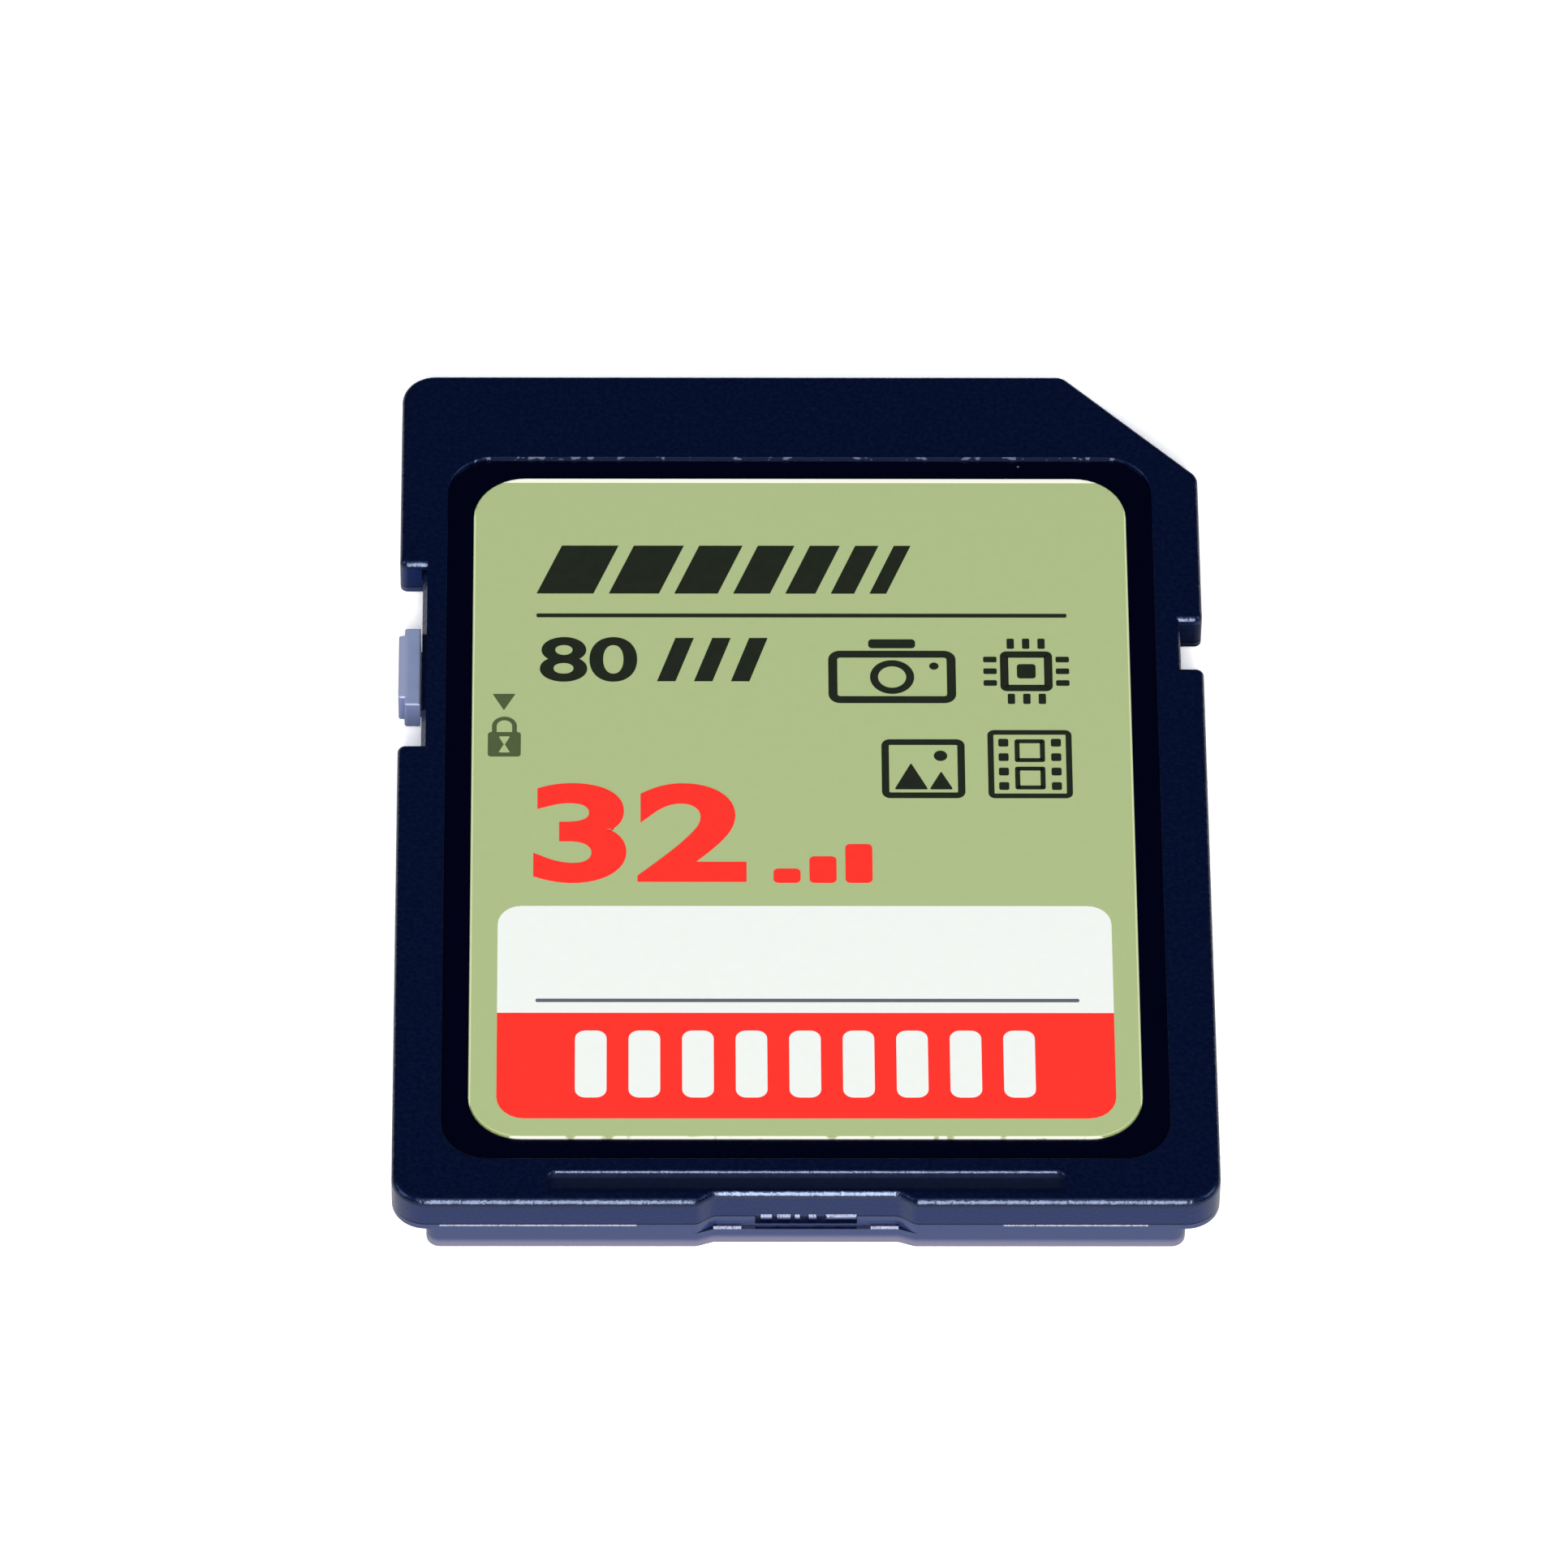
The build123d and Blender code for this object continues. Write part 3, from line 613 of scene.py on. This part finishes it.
def set_print(name, fields, ink, height):
    """Join flat fields into one pass of ink, give it its thickness, and set it on the label."""
    bpy.ops.object.select_all(action="DESELECT")
    for field in fields:
        field.select_set(True)
    bpy.context.view_layer.objects.active = fields[0]
    if len(fields) > 1:
        bpy.ops.object.join()
    printed = bpy.context.object
    printed.name = name
    bpy.ops.object.shade_flat()
    coat = printed.modifiers.new("ink", "SOLIDIFY")
    coat.thickness = INK_SINK + height
    coat.offset = 1.0
    bpy.ops.object.modifier_apply(modifier=coat.name)
    printed.matrix_world = Matrix.Scale(MM, 4) @ Matrix.Translation((0, 0, LABEL_TOP - INK_SINK))
    bpy.ops.object.transform_apply(location=True, rotation=True, scale=True)
    printed.data.materials.clear()
    printed.data.materials.append(ink)
    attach(printed, CARD)


# White panel and red band, one sheet of colour with rounded outer corners, and two thin lines.
# A field is given by its left, right, foot and top in millimetres.
PANEL_LEFT, PANEL_RIGHT = -8.98, 9.03
PANEL_TOP, PANEL_FOOT, BAND_FOOT = -4.88, -8.93, -12.88
PANEL_CORNER, BAND_CORNER = 0.7, 0.8
PANEL_LINE = (-7.86, 8.03, -8.53, -8.4)
RULE_LINE = (-7.9, 7.94, 6.31, 6.46)
LINE_CORNER = 0.05
set_print(
    "label_white_panel",
    [add_field(
        PANEL_LEFT, PANEL_RIGHT, PANEL_FOOT, PANEL_TOP, PANEL_CORNER,
        lambda place: place.y > (PANEL_FOOT + PANEL_TOP) / 2,
    )],
    white_ink, FIRST_PASS,
)
set_print(
    "label_red_band",
    [add_field(
        PANEL_LEFT, PANEL_RIGHT, BAND_FOOT, PANEL_FOOT, BAND_CORNER,
        lambda place: place.y < (BAND_FOOT + PANEL_FOOT) / 2,
    )],
    red_ink, FIRST_PASS,
)
set_print("label_panel_line", [add_field(*PANEL_LINE, LINE_CORNER)], grey_ink, SECOND_PASS)
set_print("label_rule_line", [add_field(*RULE_LINE, LINE_CORNER)], black_ink, FIRST_PASS)

# Nine rounded bars on the band, for the card's nine contacts
BAND_BARS = 9
BAND_BAR_PITCH = 1.56
BAND_BAR_HALF = 0.46
BAND_BAR_FOOT, BAND_BAR_TOP = -12.1, -9.6
BAND_BAR_CORNER = 0.3
set_print(
    "label_band_bars",
    [
        add_field(
            across - BAND_BAR_HALF, across + BAND_BAR_HALF,
            BAND_BAR_FOOT, BAND_BAR_TOP, BAND_BAR_CORNER,
        )
        for across in (BAND_BAR_PITCH * (i - (BAND_BARS - 1) / 2) for i in range(BAND_BARS))
    ],
    white_ink, SECOND_PASS,
)

# Slanted stripes that thin out to the right
STRIPE_LEFT = -7.9
STRIPE_WIDTHS = [1.7, 1.5, 1.3, 1.1, 0.9, 0.7, 0.5]
STRIPE_GAP = 0.46
STRIPE_FOOT, STRIPE_TOP = 7.25, 9.15
STRIPE_SLANT = 0.75
stripe_starts = [
    STRIPE_LEFT + sum(STRIPE_WIDTHS[:i]) + i * STRIPE_GAP for i in range(len(STRIPE_WIDTHS))
]
set_print(
    "label_stripes",
    [
        add_field(start, start + width, STRIPE_FOOT, STRIPE_TOP, slant=STRIPE_SLANT)
        for start, width in zip(stripe_starts, STRIPE_WIDTHS)
    ],
    black_ink, FIRST_PASS,
)

# Plain numbers: the large one has three steps beside it, and the small one three slanted strokes
LARGE_NUMBER = (-7.95, -1.67, -4.01, -0.17)
LARGE_WEIGHT = 0.03
STEP_WIDTH, STEP_FOOT, STEP_CORNER = 0.8, -4.0, 0.15
STEPS = [(-0.88, -3.45), (0.18, -2.98), (1.24, -2.51)]  # left and top of each
SMALL_NUMBER = (-7.79, -4.89, 3.78, 5.53)
SMALL_WEIGHT = 0.02
STROKE_WIDTH, STROKE_FOOT, STROKE_TOP, STROKE_SLANT = 0.55, 3.8, 5.5, 0.55
STROKE_STARTS = [-4.3, -3.2, -2.1]
set_print(
    "label_large_number", [add_figure("32", *LARGE_NUMBER, LARGE_WEIGHT)], red_ink, FIRST_PASS
)
set_print(
    "label_large_marks",
    [add_field(start, start + STEP_WIDTH, STEP_FOOT, top, STEP_CORNER) for start, top in STEPS],
    red_ink, FIRST_PASS,
)
set_print(
    "label_small_number", [add_figure("80", *SMALL_NUMBER, SMALL_WEIGHT)], black_ink, FIRST_PASS
)
set_print(
    "label_small_marks",
    [
        add_field(start, start + STROKE_WIDTH, STROKE_FOOT, STROKE_TOP, slant=STROKE_SLANT)
        for start in STROKE_STARTS
    ],
    black_ink, FIRST_PASS,
)

# Lock symbol: body with a keyhole, shackle, and the triangle that shows which way locks
LOCK_MIDDLE = -8.83
LOCK_TOP = 1.81
set_print(
    "label_lock_symbol",
    [
        add_field(-9.32, -8.34, 0.86, LOCK_TOP, 0.1),
        add_arch(LOCK_MIDDLE, LOCK_TOP, 2.41, 0.37, 0.14),
        add_triangle(-9.19, -8.51, 3.3, 2.66, 0.03),
    ],
    olive_ink, FIRST_PASS,
)
set_print(
    "label_lock_keyhole",
    [add_triangle(-9.0, -8.66, 1.64, 1.3, 0.05), add_triangle(-9.0, -8.66, 1.02, 1.36, 0.04)],
    green_ink, SECOND_PASS,
)

# Four pictograms: a camera, a chip, a landscape and a strip of film
CHIP_ACROSS, CHIP_UP = 6.7, 4.2
CHIP_PIN_STEP = 0.46
CHIP_PIN_HALF = 0.11
CHIP_PIN_START, CHIP_PIN_END = 0.88, 1.28  # from the chip's middle
CHIP_PIN_CORNER = 0.05
SPROCKET_SIZE = 0.3
SPROCKET_CORNER = 0.06
chip_pins = []
for step in (-CHIP_PIN_STEP, 0.0, CHIP_PIN_STEP):
    for near, far in ((CHIP_PIN_START, CHIP_PIN_END), (-CHIP_PIN_END, -CHIP_PIN_START)):
        across, up = CHIP_ACROSS + step, CHIP_UP + step
        chip_pins.append(add_field(
            across - CHIP_PIN_HALF, across + CHIP_PIN_HALF, CHIP_UP + near, CHIP_UP + far,
            CHIP_PIN_CORNER,
        ))
        chip_pins.append(add_field(
            CHIP_ACROSS + near, CHIP_ACROSS + far, up - CHIP_PIN_HALF, up + CHIP_PIN_HALF,
            CHIP_PIN_CORNER,
        ))
sprockets = [
    add_field(start, start + SPROCKET_SIZE, foot, foot + SPROCKET_SIZE, SPROCKET_CORNER)
    for start in (5.82, 7.38) for foot in (-0.42, 0.14, 0.7, 1.26)
]
set_print(
    "label_pictograms",
    [
        # Camera: case, viewfinder, lens and lamp
        hollow(add_field(0.8, 4.6, 2.95, 5.0, 0.35), 0.27),
        add_field(2.0, 3.4, 5.1, 5.45, 0.12),
        hollow(add_disc(2.7, 3.97, 0.66), 0.24),
        add_disc(3.95, 4.4, 0.14),
        # Chip: case, core and pins
        hollow(add_field(5.92, 7.48, 3.42, 4.98, 0.2), 0.25),
        add_field(6.42, 6.98, 3.92, 4.48, 0.1),
        *chip_pins,
        # Landscape: frame, two hills and the sun
        hollow(add_field(2.35, 4.82, -0.74, 1.54, 0.25), 0.22),
        add_triangle(2.72, 3.72, -0.4, 0.62, 0.06),
        add_triangle(3.76, 4.46, -0.4, 0.3, 0.06),
        add_disc(4.1, 0.9, 0.2),
        # Film: strip, two frames and sprocket holes
        hollow(add_field(5.5, 8.0, -0.74, 1.9, 0.2), 0.18),
        hollow(add_field(6.3, 7.2, -0.4, 0.48, 0.08), 0.15),
        hollow(add_field(6.3, 7.2, 0.66, 1.54, 0.08), 0.15),
        *sprockets,
    ],
    black_ink, FIRST_PASS,
)


# Floor, light and camera

def make_floor():
    """A wide sheet of matt white board, lifted to white where the camera or a reflection sees it."""
    bpy.ops.object.select_all(action="DESELECT")
    bpy.ops.mesh.primitive_plane_add(size=FLOOR_SIZE, location=(0, 0, 0))
    floor = bpy.context.object
    floor.name = "floor"
    material, tree, place = start_finish("white_board")
    fibre = put(
        tree, "ShaderNodeTexNoise", {"Vector": place, "Scale": per_mm(1.2), "Detail": 3.0}
    ).outputs[0]
    colour = put(
        tree, "ShaderNodeMix", {0: fibre, 6: linear("#E8E8E8"), 7: linear("#ECECEC")},
        data_type="RGBA",
    ).outputs[2]
    rays = put(tree, "ShaderNodeLightPath").outputs
    gain = 1.0
    for ray, lift in (
        ("Is Camera Ray", CAMERA_LIFT),
        ("Is Glossy Ray", REFLECTION_LIFT),
        ("Is Transmission Ray", REFLECTION_LIFT),
    ):
        gain = put(
            tree, "ShaderNodeMath", {0: rays[ray], 1: lift, 2: gain}, operation="MULTIPLY_ADD"
        ).outputs[0]
    lifted = put(
        tree, "ShaderNodeVectorMath", {0: colour, "Scale": gain}, operation="SCALE"
    ).outputs[0]
    board = put(tree, "ShaderNodeBsdfDiffuse", {"Color": lifted})
    end_finish(tree, board)
    floor.data.materials.append(material)


def add_softbox(name, place, width, height, power, tint):
    """A rectangular softbox at a place in metres, turned to the card."""
    bpy.ops.object.select_all(action="DESELECT")
    bpy.ops.object.light_add(type="AREA", location=place)
    lamp = bpy.context.object
    lamp.name = name
    lamp.data.shape = "RECTANGLE"
    lamp.data.size = width
    lamp.data.size_y = height
    lamp.data.energy = power
    lamp.data.color = linear(tint)[:3]
    lamp.rotation_euler = (-Vector(place)).to_track_quat("-Z", "Y").to_euler()


def add_camera():
    """The camera of the photograph, from its fitted turn, height, roll, aim and distance."""
    back = Vector((
        sin(CAMERA_AZIMUTH) * cos(CAMERA_ELEVATION),
        -cos(CAMERA_AZIMUTH) * cos(CAMERA_ELEVATION),
        sin(CAMERA_ELEVATION),
    ))
    level_right = Vector((cos(CAMERA_AZIMUTH), sin(CAMERA_AZIMUTH), 0))
    level_up = back.cross(level_right)
    right = cos(CAMERA_ROLL) * level_right + sin(CAMERA_ROLL) * level_up
    up = -sin(CAMERA_ROLL) * level_right + cos(CAMERA_ROLL) * level_up
    place = AIM_RIGHT * right + AIM_UP * up + CAMERA_DISTANCE * back
    bpy.ops.object.select_all(action="DESELECT")
    bpy.ops.object.camera_add()
    camera = bpy.context.object
    camera.matrix_world = Matrix.Translation(place) @ Matrix((right, up, back)).transposed().to_4x4()
    camera.data.sensor_width = SENSOR_WIDTH
    camera.data.lens = SENSOR_WIDTH * FOCAL_PIXELS / IMAGE_WIDTH
    camera.data.clip_start = CLIP_START
    bpy.context.scene.camera = camera


make_floor()
for softbox in SOFTBOXES:
    add_softbox(*softbox)
add_camera()

world = bpy.data.worlds.new("studio")
bpy.context.scene.world = world
world.use_nodes = True
room = world.node_tree.nodes["Background"].inputs
room["Color"].default_value = linear(ROOM_COLOUR)
room["Strength"].default_value = ROOM_STRENGTH
bpy.context.scene.view_settings.view_transform = "Standard"
